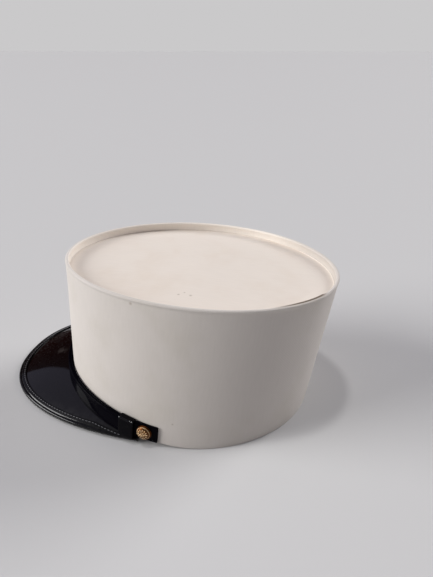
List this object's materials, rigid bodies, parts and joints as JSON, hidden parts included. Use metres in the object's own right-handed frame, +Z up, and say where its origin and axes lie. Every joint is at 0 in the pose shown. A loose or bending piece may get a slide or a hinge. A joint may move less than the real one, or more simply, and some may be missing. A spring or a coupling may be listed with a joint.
{
  "type": "kepi cap",
  "caption": "Stiff flat-topped white cloth kepi with a sunken oval top, a bound patent peak and a buttoned patent chin strap.",
  "frame": {"origin": "centre of the bounding box in plan, on the surface that the cap rests on", "axes": "+Z up, +Y from the peak to the back of the crown, +X to the wearer's left"},
  "size_m": [0.1848, 0.274, 0.1165],
  "materials": {
    "wall_cloth": "matt white cotton drill drawn tight over a stiff wall",
    "top_cloth": "matt white cotton drill over a stiff oval plate",
    "peak_leather": "high-gloss black patent, lightly scuffed",
    "binding_leather": "glossy black patent, folded over the edge and stitched",
    "strap_leather": "glossy black patent with a creased line along each edge",
    "loop_leather": "glossy black patent",
    "gilt_button": "polished gilt, stamped with a plain rayed rosette"
  },
  "bodies": {
    "root": {"crown_wall": "wall_cloth", "crown_top": "top_cloth", "peak": "peak_leather", "peak_binding": "binding_leather", "strap_inner": "strap_leather", "strap_outer": "strap_leather", "loop_left": "loop_leather", "loop_right": "loop_leather", "button_left": "gilt_button", "button_right": "gilt_button"}
  },
  "joints": []
}
